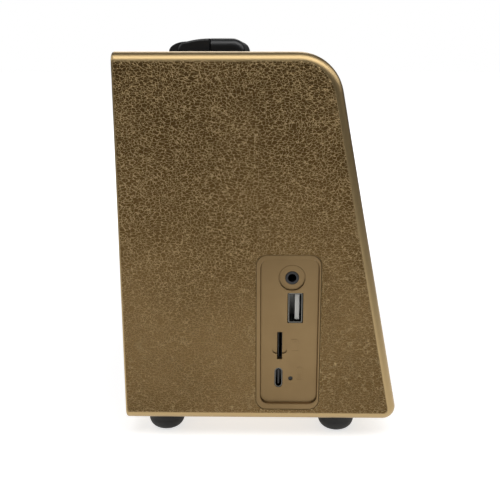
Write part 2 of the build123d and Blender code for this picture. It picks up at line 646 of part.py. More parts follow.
# ---------------------------------------------------------------- handle tray
with BuildPart() as handle_tray:
    with BuildSketch(Plane.XY.offset(TOP)):
        with Locations((0, tray_middle_y)):
            RectangleRounded(2 * FLANGE_HALF, FLANGE_FRONT_F - FLANGE_REAR_F, 5.0)
    extrude(amount=-FLANGE_THICKNESS)
    with BuildSketch(Plane.XY.offset(TOP)):
        with Locations((0, well_middle_y)):
            RectangleRounded(
                2 * (WELL_HALF + TRAY_WALL), well_length_y + 2 * TRAY_WALL, WELL_ROUND + TRAY_WALL - 0.2
            )
    extrude(amount=-(WELL_DEPTH + TRAY_WALL))
    with BuildSketch(Plane.XY.offset(TOP)):
        with Locations((0, well_middle_y)):
            RectangleRounded(2 * WELL_HALF, well_length_y, WELL_ROUND)
    extrude(amount=-WELL_DEPTH, mode=Mode.SUBTRACT)
    well_rim = handle_tray.faces().filter_by(Axis.Z).sort_by(Axis.Z)[-1].inner_wires()[0].edges()
    fillet(well_rim, 0.8)
    # Hinge towers, one beside each arm, with a rounded top.
    for tower_x in (-TOWER_OUTER_X, TOWER_INNER_X):
        with BuildSketch(Plane.YZ.offset(tower_x)):
            with Locations((y_of(TOWER_MIDDLE_F), TOP)):
                Ellipse(TOWER_HALF_F, TOWER_H)
            with Locations((y_of(TOWER_MIDDLE_F), TOP - WELL_DEPTH / 2 - 0.25)):
                Rectangle(2 * TOWER_HALF_F, WELL_DEPTH + 0.5)
        extrude(amount=TOWER_OUTER_X - TOWER_INNER_X)
    # Rests that the folded grip lies over.
    with BuildSketch(Plane.XY.offset(TOP - WELL_DEPTH - 0.5)):
        with Locations((-64.0, y_of(45.0)), (64.0, y_of(45.0))):
            RectangleRounded(8.0, 9.0, 1.5)
    extrude(amount=WELL_DEPTH + 0.5 + GRIP_BOTTOM_H - 0.2)
    with BuildSketch(Plane.YZ.offset(-TOWER_OUTER_X - 1)):
        with Locations((pivot_y, pivot_z)):
            Circle(PIN_R + PIN_CLEARANCE)
    extrude(amount=TOWER_OUTER_X - TOWER_INNER_X + 2, mode=Mode.SUBTRACT)
    with BuildSketch(Plane.YZ.offset(TOWER_INNER_X - 1)):
        with Locations((pivot_y, pivot_z)):
            Circle(PIN_R + PIN_CLEARANCE)
    extrude(amount=TOWER_OUTER_X - TOWER_INNER_X + 2, mode=Mode.SUBTRACT)
keep(handle_tray.part, "handle_tray")

# ---------------------------------------------------------------- folding handle
core_height = CORE_TOP_H - CORE_BOTTOM_H

with BuildPart() as handle_frame:
    for arm_x in (-HANDLE_HALF, HANDLE_HALF - ARM_WIDTH):
        with BuildSketch(Plane.YZ.offset(arm_x)):
            with BuildLine():
                knuckle = ThreePointArc(
                    (pivot_y, pivot_z + KNUCKLE_R), (pivot_y + KNUCKLE_R, pivot_z), (pivot_y, pivot_z - KNUCKLE_R)
                )
                belly = Line(knuckle @ 1, (y_of(ARM_END_F), TOP - 4.4))
                seam = Line(belly @ 1, (y_of(ARM_END_F), TOP + 5.75))
                ThreePointArc(seam @ 1, (y_of(30.8), TOP + 5.45), knuckle @ 0)
            make_face()
        extrude(amount=ARM_WIDTH)
    side_faces = handle_frame.faces().filter_by(Axis.X)
    fillet(side_faces.edges(), 1.0)
    with BuildSketch(Plane.XY.offset(TOP + CORE_BOTTOM_H)):
        with Locations((0, y_of((ARM_END_F + CORE_FRONT_F) / 2 - 0.4))):
            Rectangle(2 * (HANDLE_HALF - 2.2), CORE_FRONT_F - ARM_END_F + 0.8)
    extrude(amount=core_height)
    for bore_x in (-HANDLE_HALF + ARM_WIDTH, HANDLE_HALF - ARM_WIDTH):
        with BuildSketch(Plane.YZ.offset(bore_x)):
            with Locations((pivot_y, pivot_z)):
                Circle(PIN_R)
        extrude(amount=6.0 if bore_x > 0 else -6.0, mode=Mode.SUBTRACT)
keep(handle_frame.part, "handle_frame")

with BuildPart() as handle_grip:
    with BuildSketch(Plane.YZ.offset(-HANDLE_HALF)) as grip_section:
        with Locations((y_of((GRIP_REAR_F + GRIP_FRONT_F) / 2), TOP + (GRIP_TOP_H + GRIP_BOTTOM_H) / 2)):
            Rectangle(GRIP_FRONT_F - GRIP_REAR_F, GRIP_TOP_H - GRIP_BOTTOM_H)
        fillet(grip_section.vertices().sort_by(Axis.X)[:2].sort_by(Axis.Y)[-1], 6.0)
        fillet(grip_section.vertices().sort_by(Axis.X)[:2].sort_by(Axis.Y)[0], 4.4)
    extrude(amount=2 * HANDLE_HALF)
    end_edges = handle_grip.faces().filter_by(Axis.X).edges()
    fillet(end_edges.filter_by_position(Axis.Y, y_of(GRIP_FRONT_F) - 1, y_of(GRIP_REAR_F) - 0.1), 3.6)
    with BuildSketch(Plane.XY.offset(TOP + CORE_BOTTOM_H)):
        with Locations((0, y_of((GRIP_REAR_F + CORE_FRONT_F) / 2 - 0.5))):
            Rectangle(2 * (HANDLE_HALF - 2.2), CORE_FRONT_F - GRIP_REAR_F + 1.0)
    extrude(amount=core_height, mode=Mode.SUBTRACT)
keep(handle_grip.part, "handle_grip")

with BuildPart() as hinge_pins:
    for pin_x, pin_way in ((-TOWER_INNER_X - 0.4, -1), (TOWER_INNER_X + 0.4, 1)):
        with BuildSketch(Plane.YZ.offset(pin_x)):
            with Locations((pivot_y, pivot_z)):
                Circle(PIN_R)
        extrude(amount=pin_way * (HANDLE_HALF - ARM_WIDTH + 6.0 - TOWER_INNER_X - 0.4))
keep(hinge_pins.part, "hinge_pins")

# ---------------------------------------------------------------- control strip, buttons and their board
with BuildPart() as control_strip:
    with BuildSketch(Plane.XY.offset(TOP)):
        with Locations((0, strip_middle_y)):
            RectangleRounded(2 * STRIP_HALF, strip_length_y, 2.5)
    extrude(amount=-FLANGE_THICKNESS)
    with BuildSketch(Plane.XY.offset(TOP)):
        with Locations((0, strip_middle_y)):
            RectangleRounded(2 * (STRIP_HALF - STRIP_LIP), strip_length_y - 2 * STRIP_LIP, 1.5)
    extrude(amount=-STRIP_THICKNESS)
    with BuildSketch(Plane.XY.offset(TOP)):
        with Locations(*[(x, strip_middle_y) for x in buttons_x]):
            SlotOverall(BUTTON_LENGTH, BUTTON_DEPTH)
    extrude(amount=-STRIP_THICKNESS - 1, mode=Mode.SUBTRACT)
keep(control_strip.part, "control_strip")

for button_name, button_x in zip(BUTTON_NAMES, buttons_x):
    with BuildPart() as button:
        with BuildSketch(Plane.XY.offset(TOP - 0.1)):
            with Locations((button_x, strip_middle_y)):
                SlotOverall(BUTTON_LENGTH - 2 * BUTTON_GAP, BUTTON_DEPTH - 2 * BUTTON_GAP)
        extrude(amount=-STRIP_THICKNESS)
        fillet(button.faces().sort_by(Axis.Z)[-1].edges(), 0.5)
        # Flange under the strip keeps the button in; the stem reaches the switch.
        with BuildSketch(Plane.XY.offset(TOP - 0.1 - STRIP_THICKNESS)):
            with Locations((button_x, strip_middle_y)):
                SlotOverall(BUTTON_LENGTH + 2.0, BUTTON_DEPTH + 1.2)
        extrude(amount=-0.8)
        with BuildSketch(Plane.XY.offset(TOP - 0.9 - STRIP_THICKNESS)):
            with Locations((button_x, strip_middle_y)):
                Circle(1.8)
        extrude(amount=-0.5)
    keep(button.part, f"{button_name}_button")

switch_top = button_board_top + SWITCH_HEIGHT

with BuildPart() as button_board:
    with BuildSketch(Plane.XY.offset(button_board_top)):
        with Locations((0, strip_middle_y)):
            RectangleRounded(2 * button_board_posts_x + 6.0, 11.0, 1.0)
    extrude(amount=-BOARD_THICKNESS)
keep(button_board.part, "button_board")

with BuildPart() as button_switches:
    with BuildSketch(Plane.XY.offset(button_board_top)):
        with Locations(*[(x, strip_middle_y) for x in buttons_x]):
            Rectangle(SWITCH_SIDE, SWITCH_SIDE)
    extrude(amount=SWITCH_HEIGHT)
    with BuildSketch(Plane.XY.offset(switch_top)):
        with Locations(*[(x, strip_middle_y) for x in buttons_x]):
            Circle(1.6)
    extrude(amount=TOP - 1.4 - STRIP_THICKNESS - BUTTON_TRAVEL - 0.1 - switch_top)
keep(button_switches.part, "button_switches")

# ---------------------------------------------------------------- socket panel and what is behind it
PANEL_FLOOR_X = -HALF_WIDTH + PANEL_RECESS


def side_plane(x):
    """Plane facing out of the left side at x; its own x runs to the front and its y runs up."""
    return Plane(origin=(x, BACK, BOTTOM), x_dir=(0, -1, 0), z_dir=(-1, 0, 0))


with BuildPart() as socket_panel:
    with BuildSketch(side_plane(-HALF_WIDTH)):
        with Locations((PANEL_F, PANEL_V)):
            RectangleRounded(PANEL_WIDTH - 0.2, PANEL_HEIGHT - 0.2, PANEL_ROUND - 0.1)
    extrude(amount=-PANEL_BACK)
    with BuildSketch(side_plane(-HALF_WIDTH)):
        with Locations((FLOOR_F, FLOOR_V)):
            RectangleRounded(
                FLOOR_WIDTH + 2 * PANEL_DRAFT, FLOOR_HEIGHT + 2 * PANEL_DRAFT, FLOOR_ROUND + PANEL_DRAFT
            )
    with BuildSketch(side_plane(PANEL_FLOOR_X)):
        with Locations((FLOOR_F, FLOOR_V)):
            RectangleRounded(FLOOR_WIDTH, FLOOR_HEIGHT, FLOOR_ROUND)
    loft(mode=Mode.SUBTRACT)
    # Soft edges on both sides of the rim.
    fillet(socket_panel.faces().filter_by(Axis.X).sort_by(Axis.X)[0].edges(), 0.3)
    with BuildSketch(side_plane(PANEL_FLOOR_X)):
        with Locations((JACK_F, JACK_V)):
            Circle(JACK_RING_R)
    extrude(amount=-JACK_RING_DEPTH, mode=Mode.SUBTRACT)
    # Finger scoop across the card slot.
    with BuildSketch(side_plane(PANEL_FLOOR_X)):
        with Locations((CARD_F, CARD_V - 2.0)):
            SlotOverall(6.4, 3.4)
    extrude(amount=-0.7, mode=Mode.SUBTRACT)
    with BuildSketch(side_plane(PANEL_FLOOR_X - 1)):
        with Locations((JACK_F, JACK_V)):
            Circle(JACK_R + 0.05)
        with Locations((USB_F, USB_V)):
            Rectangle(USB_SHORT + USB_PLAY, USB_LONG + SOCKET_PLAY)
        with Locations((CARD_F, CARD_V)):
            Rectangle(CARD_SLOT_SHORT, CARD_SLOT_LONG)
        with Locations((USBC_F, USBC_V)):
            SlotOverall(USBC_LONG + SOCKET_PLAY, USBC_SHORT + SOCKET_PLAY, rotation=90)
        with Locations((LIGHT_F, LIGHT_V)):
            Circle(LIGHT_R)
    extrude(amount=-PANEL_BACK - 1, mode=Mode.SUBTRACT)
keep(socket_panel.part, "socket_panel")

panel_back_x = -HALF_WIDTH + PANEL_BACK

with BuildPart() as aux_jack:
    jack_mouth_x = PANEL_FLOOR_X + JACK_RING_DEPTH - 0.2
    with BuildSketch(side_plane(jack_mouth_x)):
        with Locations((JACK_F, JACK_V)):
            Circle(JACK_R)
    extrude(amount=jack_mouth_x - panel_back_x - 0.1)
    fillet(aux_jack.faces().sort_by(Axis.X)[0].edges(), 0.3)
    with BuildSketch(side_plane(panel_back_x + 0.1)):
        with Locations((IO_BOARD_F + IO_BOARD_THICKNESS + 3.2, JACK_V)):
            RectangleRounded(6.4, 11.0, 0.4)
    extrude(amount=-14.0)
    with BuildSketch(side_plane(jack_mouth_x)):
        with Locations((JACK_F, JACK_V)):
            Circle(JACK_BORE_R)
    extrude(amount=-JACK_BORE_LENGTH, mode=Mode.SUBTRACT)
keep(aux_jack.part, "aux_jack")

USB_MOUTH_X = PANEL_FLOOR_X + 0.3
with BuildPart() as usb_shell:
    with BuildSketch(side_plane(USB_MOUTH_X)):
        with Locations((USB_F, USB_V)):
            RectangleRounded(USB_SHORT, USB_LONG, 0.5)
    extrude(amount=-14.0)
    with BuildSketch(side_plane(USB_MOUTH_X)):
        with Locations((USB_F, USB_V)):
            Rectangle(USB_SHORT - 2 * USB_SHEET, USB_LONG - 2 * USB_SHEET)
    extrude(amount=-13.5, mode=Mode.SUBTRACT)
    # Tabs that stand the shell on its board.
    with BuildSketch(side_plane(USB_MOUTH_X - 5.0 + 10.0)):
        usb_near_f = USB_F - USB_SHORT / 2
        board_face_f = IO_BOARD_F + IO_BOARD_THICKNESS
        for tab_v in (-4.5, 4.5):
            with Locations(((usb_near_f + board_face_f) / 2, USB_V + tab_v)):
                Rectangle(usb_near_f - board_face_f, 1.2)
    extrude(amount=-4.0)
keep(usb_shell.part, "usb_shell")

with BuildPart() as usb_tongue:
    with BuildSketch(side_plane(USB_MOUTH_X + 1.5)):
        with Locations((USB_TONGUE_F, USB_V)):
            Rectangle(USB_TONGUE_SHORT, USB_TONGUE_LONG)
    extrude(amount=-9.0)
    with BuildSketch(side_plane(USB_MOUTH_X + 10.0)):
        with Locations((USB_F, USB_V)):
            Rectangle(USB_SHORT - 2 * USB_SHEET, USB_LONG - 2 * USB_SHEET)
    extrude(amount=-3.5)
keep(usb_tongue.part, "usb_tongue")

with BuildPart() as card_reader:
    with BuildSketch(side_plane(panel_back_x + 0.1)):
        with Locations((IO_BOARD_F - 1.1, CARD_V)):
            Rectangle(2.2, 14.6)
    extrude(amount=-15.0)
    with BuildSketch(side_plane(panel_back_x + 0.1)):
        with Locations((IO_BOARD_F - 1.2, CARD_V)):
            Rectangle(1.2, 11.6)
    extrude(amount=-13.0, mode=Mode.SUBTRACT)
keep(card_reader.part, "card_reader")

USBC_MOUTH_X = PANEL_FLOOR_X + 0.3
with BuildPart() as usb_c_shell:
    with BuildSketch(side_plane(USBC_MOUTH_X)):
        with Locations((USBC_F, USBC_V)):
            SlotOverall(USBC_LONG, USBC_SHORT, rotation=90)
    extrude(amount=-8.5)
    with BuildSketch(side_plane(USBC_MOUTH_X)):
        with Locations((USBC_F, USBC_V)):
            SlotOverall(USBC_LONG - 2 * USBC_SHEET, USBC_SHORT - 2 * USBC_SHEET, rotation=90)
    extrude(amount=-8.0, mode=Mode.SUBTRACT)
keep(usb_c_shell.part, "usb_c_shell")

with BuildPart() as usb_c_tongue:
    with BuildSketch(side_plane(USBC_MOUTH_X + 0.9)):
        with Locations((USBC_F, USBC_V)):
            RectangleRounded(0.7, 6.6, 0.2)
    extrude(amount=-5.1)
    with BuildSketch(side_plane(USBC_MOUTH_X + 6.0)):
        with Locations((USBC_F, USBC_V)):
            SlotOverall(USBC_LONG - 2 * USBC_SHEET, USBC_SHORT - 2 * USBC_SHEET, rotation=90)
    extrude(amount=-2.0)
keep(usb_c_tongue.part, "usb_c_tongue")

with BuildPart() as charge_light:
    with BuildSketch(side_plane(PANEL_FLOOR_X + 0.4)):
        with Locations((LIGHT_F, LIGHT_V)):
            Circle(LIGHT_R - 0.05)
    extrude(amount=-1.4)
    with BuildSketch(side_plane(panel_back_x)):
        with Locations((LIGHT_F, LIGHT_V)):
            Circle(1.6)
    extrude(amount=-3.0)
keep(charge_light.part, "charge_light")

with BuildPart() as io_board:
    with BuildSketch(Plane.XZ.offset(-y_of(IO_BOARD_F))):
        with Locations((-HALF_WIDTH + PANEL_BACK + 15.0, BOTTOM + 41.0)):
            Rectangle(29.0, 66.0)
    extrude(amount=IO_BOARD_THICKNESS)
keep(io_board.part, "io_board")

# ---------------------------------------------------------------- main board and battery
with BuildPart() as main_board:
    with BuildSketch(Plane.XY.offset(MAIN_BOARD_Z)):
        with Locations((0, MAIN_BOARD_MIDDLE_Y)):
            RectangleRounded(MAIN_BOARD_X, MAIN_BOARD_Y, 2.0)
        with Locations(*board_posts_at):
            Circle(1.5, mode=Mode.SUBTRACT)
    extrude(amount=BOARD_THICKNESS)
keep(main_board.part, "main_board")

board_top = MAIN_BOARD_Z + BOARD_THICKNESS
AMPLIFIER_X, AMPLIFIER_Y = -20.0, MAIN_BOARD_MIDDLE_Y
CAPACITORS = ((8.0, 32.0), (20.0, 32.0), (32.0, 32.0), (12.0, 17.0))
COILS = ((-42.0, 14.0), (-42.0, 30.0))
CONNECTORS = ((-30.0, 5.0), (0.0, 5.0), (30.0, 5.0))

with BuildPart() as board_components:
    with BuildSketch(Plane.XY.offset(board_top)):
        with Locations((AMPLIFIER_X, AMPLIFIER_Y)):
            Rectangle(14.0, 14.0)
        with Locations((46.0, MAIN_BOARD_MIDDLE_Y)):
            Rectangle(18.0, 13.0)
    extrude(amount=2.0)
    with BuildSketch(Plane.XY.offset(board_top)):
        with Locations(*CAPACITORS):
            Circle(4.0)
    extrude(amount=12.0)
    with BuildSketch(Plane.XY.offset(board_top)):
        with Locations(*COILS):
            RectangleRounded(10.0, 10.0, 2.0)
    extrude(amount=5.0)
    with BuildSketch(Plane.XY.offset(board_top)):
        with Locations(*CONNECTORS):
            Rectangle(8.0, 5.0)
    extrude(amount=6.0)
keep(board_components.part, "board_components")

with BuildPart() as heat_sink:
    with BuildSketch(Plane.XY.offset(board_top + 2.0)):
        with Locations((AMPLIFIER_X, AMPLIFIER_Y)):
            Rectangle(22.0, 20.0)
    extrude(amount=2.5)
    with BuildSketch(Plane.XY.offset(board_top + 4.5)):
        with Locations((AMPLIFIER_X, AMPLIFIER_Y)):
            with GridLocations(3.3, 0, 7, 1):
                Rectangle(1.2, 20.0)
    extrude(amount=9.0)
keep(heat_sink.part, "heat_sink")

board_screw_plane = Plane.XY.offset(board_top)
keep(screw(board_screw_plane, board_posts_at, 2.4, 1.7, 1.05, 5.5), "board_screws")

cell_axis_z = BOTTOM + WALL + 2.0 + CELL_R + 0.3
with BuildPart() as battery_cells:
    with BuildSketch(Plane.YZ.offset(-CELL_LENGTH / 2)):
        with Locations(*[(BATTERY_Y + s * CELL_PITCH / 2, cell_axis_z) for s in (-1, 1)]):
            Circle(CELL_R)
    extrude(amount=CELL_LENGTH)
    fillet(battery_cells.edges().filter_by(GeomType.CIRCLE), 0.6)
    with BuildSketch(Plane.YZ.offset(CELL_LENGTH / 2)):
        with Locations(*[(BATTERY_Y + s * CELL_PITCH / 2, cell_axis_z) for s in (-1, 1)]):
            Circle(2.8)
    extrude(amount=1.2)
keep(battery_cells.part, "battery_cells")

with BuildPart() as battery_holder:
    with BuildSketch(Plane.XY.offset(BOTTOM + WALL)):
        with Locations((0, BATTERY_Y)):
            RectangleRounded(CELL_LENGTH + 8.0, 2 * CELL_PITCH + 4.0, 1.5)
    extrude(amount=13.0)
    with BuildSketch(Plane.YZ.offset(-CELL_LENGTH / 2 - 1.6)):
        with Locations(*[(BATTERY_Y + s * CELL_PITCH / 2, cell_axis_z) for s in (-1, 1)]):
            Circle(CELL_R + 0.3)
        with Locations((BATTERY_Y, cell_axis_z + 6.0)):
            Rectangle(CELL_PITCH + 2 * CELL_R + 0.6, 12.0)
    extrude(amount=CELL_LENGTH + 3.2, mode=Mode.SUBTRACT)
keep(battery_holder.part, "battery_holder")


# ---------------------------------------------------------------- leads inside the case
def lead(name, points, radius, bend):
    """A round lead along straight runs joined by arcs."""
    with BuildPart() as wire:
        with BuildLine() as route:
            FilletPolyline(*points, radius=bend)
        with BuildSketch(Plane(origin=route.line @ 0, z_dir=route.line % 0)):
            Circle(radius)
        sweep()
    keep(wire.part, name)


connector_top = board_top + 6.0
LEAD_R = 1.2
lead(
    "battery_lead",
    [
        (CELL_LENGTH / 2 + 5.0, BATTERY_Y, cell_axis_z + 2.0),
        (CELL_LENGTH / 2 + 15.0, BATTERY_Y, cell_axis_z + 4.0),
        (CELL_LENGTH / 2 + 12.0, -8.0, connector_top + 9.0),
        (30.0, 5.0, connector_top + 10.0),
        (30.0, 5.0, connector_top),
    ],
    LEAD_R,
    4.0,
)
# Each lead runs from a connector to a leg of the driver's frame, beside the magnet.
LEAD_X, LEAD_S, LEAD_DEPTH = DRIVER_X - 21.0, DRIVER_S - 21.0, 14.0
for lead_side, lead_sign, lead_start_x in (("left", -1, -30.0), ("right", 1, 0.0)):
    lead_end = front_plane(FRONT_FRAME + BAFFLE_THICKNESS + LEAD_DEPTH).from_local_coords(
        (lead_sign * LEAD_X, LEAD_S, 0)
    )
    lead(
        f"speaker_lead_{lead_side}",
        [
            (lead_start_x, 5.0, connector_top),
            (lead_start_x, 5.0, connector_top + 10.0),
            (lead_sign * LEAD_X, 0.0, connector_top + 18.0),
            (lead_sign * LEAD_X, lead_end.Y + 10.0 * cos(SLOPE), lead_end.Z - 10.0 * sin(SLOPE)),
            (lead_sign * LEAD_X, lead_end.Y, lead_end.Z),
        ],
        LEAD_R,
        4.0,
    )
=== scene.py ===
"""The looks of a gold karaoke speaker: grained case, folding black handle, grille, sockets and radiator.

Lengths are metres in the CAD frame: +Z up, the grille faces -Y, the sockets are on the -X side.
"""

import json
from math import atan2, cos, pi, radians, sin, sqrt

import bmesh
import bpy
from mathutils import Matrix, Vector


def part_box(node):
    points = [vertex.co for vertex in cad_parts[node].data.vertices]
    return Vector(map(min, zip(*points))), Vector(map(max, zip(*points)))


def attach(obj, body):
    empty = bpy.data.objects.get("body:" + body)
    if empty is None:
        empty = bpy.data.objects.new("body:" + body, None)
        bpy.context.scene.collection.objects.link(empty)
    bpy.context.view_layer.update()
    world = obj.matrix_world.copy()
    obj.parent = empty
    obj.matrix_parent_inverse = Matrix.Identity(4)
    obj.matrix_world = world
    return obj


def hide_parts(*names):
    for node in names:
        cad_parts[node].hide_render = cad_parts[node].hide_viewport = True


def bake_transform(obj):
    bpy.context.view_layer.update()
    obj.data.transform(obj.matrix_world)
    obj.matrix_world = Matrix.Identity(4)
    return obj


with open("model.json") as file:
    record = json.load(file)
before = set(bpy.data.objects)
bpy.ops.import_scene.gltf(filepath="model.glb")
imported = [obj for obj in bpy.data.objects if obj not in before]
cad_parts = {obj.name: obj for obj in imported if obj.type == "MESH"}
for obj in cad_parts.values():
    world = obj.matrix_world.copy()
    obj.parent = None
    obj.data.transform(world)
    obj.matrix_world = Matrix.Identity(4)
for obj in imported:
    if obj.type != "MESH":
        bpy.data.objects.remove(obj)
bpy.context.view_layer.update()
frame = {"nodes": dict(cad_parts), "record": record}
NODES = frame["nodes"]
MM = 0.001


# ---------------------------------------------------------------- places taken from the frame
case_low, case_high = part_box("main_shell")
panel_low, panel_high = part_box("socket_panel")

radiator_low, radiator_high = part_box("radiator_plate")

HALF_WIDTH = case_high.x
CASE_TOP = case_high.z
CASE_BOTTOM = case_low.z
BACK = case_high.y
RADIATOR_MIDDLE = (radiator_low + radiator_high) / 2
CASE_DEPTH_BOTTOM, CASE_DEPTH_TOP, CASE_HEIGHT = 0.1202, 0.0893, 0.1578
SLOPE = atan2(CASE_DEPTH_BOTTOM - CASE_DEPTH_TOP, CASE_HEIGHT)
UP_SLOPE = Vector((0, sin(SLOPE), cos(SLOPE)))
OUT_OF_FRONT = Vector((0, -cos(SLOPE), sin(SLOPE)))


# ---------------------------------------------------------------- camera
CAMERA_DISTANCE = 0.3086
CAMERA_LENS, SENSOR = 55.15, 36.0
CAMERA_PITCH, CAMERA_YAW = radians(14.48), radians(0.89)


def add_camera():
    """A camera level with the case's top, looking down at its left side."""
    level = cos(CAMERA_PITCH)
    look = Vector((cos(CAMERA_YAW) * level, sin(CAMERA_YAW) * level, -sin(CAMERA_PITCH)))
    data = bpy.data.cameras.new("camera")
    data.sensor_width = SENSOR
    data.lens = CAMERA_LENS
    data.clip_start, data.clip_end = 0.01, 50
    camera = bpy.data.objects.new("camera", data)
    camera.location = (-HALF_WIDTH - CAMERA_DISTANCE, BACK - 0.0597, CASE_TOP - 0.0003)
    camera.rotation_euler = look.to_track_quat("-Z", "Y").to_euler()
    bpy.context.scene.collection.objects.link(camera)
    bpy.context.scene.camera = camera


add_camera()


# ---------------------------------------------------------------- material helpers
class Nodes:
    """A material being wired: add() makes a node and sets or links its inputs by name."""

    def __init__(self, name):
        self.material = bpy.data.materials.new(name)
        self.material.use_nodes = True
        self.tree = self.material.node_tree
        self.shader = self.tree.nodes["Principled BSDF"]

    def put(self, node, socket, value):
        target = node.inputs[socket]
        if isinstance(value, bpy.types.NodeSocket):
            self.tree.links.new(value, target)
        else:
            target.default_value = value

    def add(self, kind, settings=None, **inputs):
        node = self.tree.nodes.new(kind)
        for key, value in (settings or {}).items():
            setattr(node, key, value)
        for key, value in inputs.items():
            self.put(node, key.replace("_", " "), value)
        return node

    def place(self):
        return self.add("ShaderNodeTexCoord").outputs["Object"]

    def math(self, operation, first, second=0.0, third=None):
        node = self.add("ShaderNodeMath", {"operation": operation})
        self.put(node, 0, first)
        self.put(node, 1, second)
        if third is not None:
            self.put(node, 2, third)
        return node.outputs[0]

    def noise(self, vector, scale, detail=4.0, roughness=0.55, kind="FBM"):
        node = self.add("ShaderNodeTexNoise", {"noise_type": kind}, Vector=vector, Scale=scale, Detail=detail)
        self.put(node, "Roughness", roughness)
        return node

    def shifted(self, vector, by, distance):
        """The vector pushed about by a noise's colour, by up to half of distance each way."""
        level = self.add("ShaderNodeVectorMath", {"operation": "SUBTRACT"})
        self.put(level, 0, by.outputs["Color"])
        self.put(level, 1, (0.5, 0.5, 0.5))
        push = self.add("ShaderNodeVectorMath", {"operation": "MULTIPLY_ADD"})
        self.put(push, 0, level.outputs[0])
        self.put(push, 1, (distance, distance, distance))
        self.put(push, 2, vector)
        return push.outputs[0]

    def veins(self, vector, scale, width):
        """Thin raised lines between the cells of a Voronoi pattern, 1 along their middles."""
        cells = self.add("ShaderNodeTexVoronoi", {"feature": "DISTANCE_TO_EDGE"}, Vector=vector, Scale=scale)
        return self.between(cells.outputs["Distance"], 0.0, width, 1.0, 0.0)

    def contour(self, vector, scale, width):
        """Thin crinkled lines where a noise passes its middle value, 1 along their middles."""
        away = self.math("SUBTRACT", self.noise(vector, scale, 2.0, 0.5).outputs[0], 0.5)
        return self.between(self.math("ABSOLUTE", away), 0.0, width, 1.0, 0.0)

    def between(self, value, low, high, to_low=0.0, to_high=1.0):
        node = self.add("ShaderNodeMapRange", {"interpolation_type": "SMOOTHSTEP"}, Value=value)
        ends = {"From Min": low, "From Max": high, "To Min": to_low, "To Max": to_high}
        for socket, number in ends.items():
            self.put(node, socket, number)
        return node.outputs[0]

    def bump(self, height, distance, strength=1.0):
        node = self.add("ShaderNodeBump", Height=height, Distance=distance, Strength=strength)
        self.put(self.shader, "Normal", node.outputs[0])

    def finish(self, **inputs):
        for key, value in inputs.items():
            self.put(self.shader, key.replace("_", " "), value)
        return self.material


def mixed(nodes, factor, first, second):
    """A colour between two, by factor."""
    node = nodes.add("ShaderNodeMix", {"data_type": "RGBA"})
    nodes.put(node, 0, factor)
    nodes.put(node, 6, first)
    nodes.put(node, 7, second)
    return node.outputs[2]


def colour(red, green, blue):
    """An opaque colour."""
    return (red, green, blue, 1.0)


# ---------------------------------------------------------------- materials
# The paint's own tones are the deep and field golds, mixed in random patches; the third, lighter gold is the
# same paint as if lit, a painted highlight.
GOLD_DEEP = colour(0.12, 0.072, 0.026)
GOLD_FIELD = colour(0.16, 0.098, 0.038)
GOLD_PAINTED_HIGHLIGHT = colour(0.47, 0.34, 0.17)


def grained_gold():
    """Champagne-gold paint: wrinkled leather grain on the flat sides, smooth on the rounded edges; a lighter
    copy of the gold is painted on as highlight on the edges and along the wrinkle lines.
    """
    m = Nodes("grained_gold")
    place = m.place()
    across = m.math("ABSOLUTE", m.add("ShaderNodeSeparateXYZ", Vector=place).outputs["X"])
    grained = m.between(across, HALF_WIDTH - 0.12 * MM, HALF_WIDTH - 0.01 * MM)
    drawn = m.add("ShaderNodeMapping", {"vector_type": "POINT"}, Vector=place, Scale=(1, 0.82, 1.25))
    stretched = drawn.outputs[0]
    swayed = m.shifted(stretched, m.noise(place, 45, 2.0), 8 * MM)
    warped = m.shifted(swayed, m.noise(place, 900, 2.0), 1.4 * MM)
    broken = m.between(m.noise(place, 500, 2.0).outputs[0], 0.3, 0.42)
    veins = m.math("MULTIPLY", m.veins(warped, 730, 0.085), broken)
    wrinkles = m.math("MAXIMUM", veins, m.contour(swayed, 190, 0.007))
    grit = m.noise(place, 2600, 2.0)
    height = m.math("MULTIPLY_ADD", grit.outputs[0], 0.15, wrinkles)
    m.bump(m.math("MULTIPLY", height, grained), 0.42 * MM)
    patches = m.between(m.noise(place, 22, 3.0).outputs[0], 0.35, 0.65)
    field = mixed(m, patches, GOLD_DEEP, GOLD_FIELD)
    # The wrinkle lines are lightened towards the lighter gold: a painted highlight where the crinkles catch
    # the light.
    wrinkles_painted_highlight = mixed(m, m.math("MULTIPLY", wrinkles, 0.95), field, GOLD_PAINTED_HIGHLIGHT)
    # The smooth rounded edges take the lighter gold whole: a painted highlight along the edge band.
    smooth = mixed(m, grained, GOLD_PAINTED_HIGHLIGHT, wrinkles_painted_highlight)
    rough = m.between(grained, 0.0, 1.0, 0.38, 0.42)
    return m.finish(Base_Color=smooth, Roughness=rough, Metallic=1.0)


def satin_gold():
    """The same paint on smooth plastic, with a very fine sparkle."""
    m = Nodes("satin_gold")
    place = m.place()
    fleck = m.noise(place, 3800, 2.0)
    m.bump(fleck.outputs[0], 0.02 * MM)
    cloud = m.between(m.noise(place, 40, 3.0).outputs[0], 0.3, 0.7)
    tone = mixed(m, cloud, colour(0.21, 0.14, 0.066), colour(0.24, 0.162, 0.078))
    return m.finish(Base_Color=tone, Roughness=0.42, Metallic=1.0)


def moulded(name, tone, roughness, grain, depth, specks=0.25):
    """Moulded plastic or rubber: spark-eroded grain, slight mottling and uneven gloss."""
    m = Nodes(name)
    place = m.place()
    fine = m.noise(place, grain, 3.0)
    m.bump(fine.outputs[0], depth)
    mottle = m.between(m.noise(place, 35, 4.0).outputs[0], 0.3, 0.7)
    dark = colour(*[c * (1 - specks) for c in tone])
    light = colour(*[c * (1 + specks) + 0.001 for c in tone])
    gloss = m.between(m.noise(place, 90, 3.0).outputs[0], 0.2, 0.8, roughness - 0.06, roughness + 0.06)
    return m.finish(Base_Color=mixed(m, mottle, dark, light), Roughness=gloss)


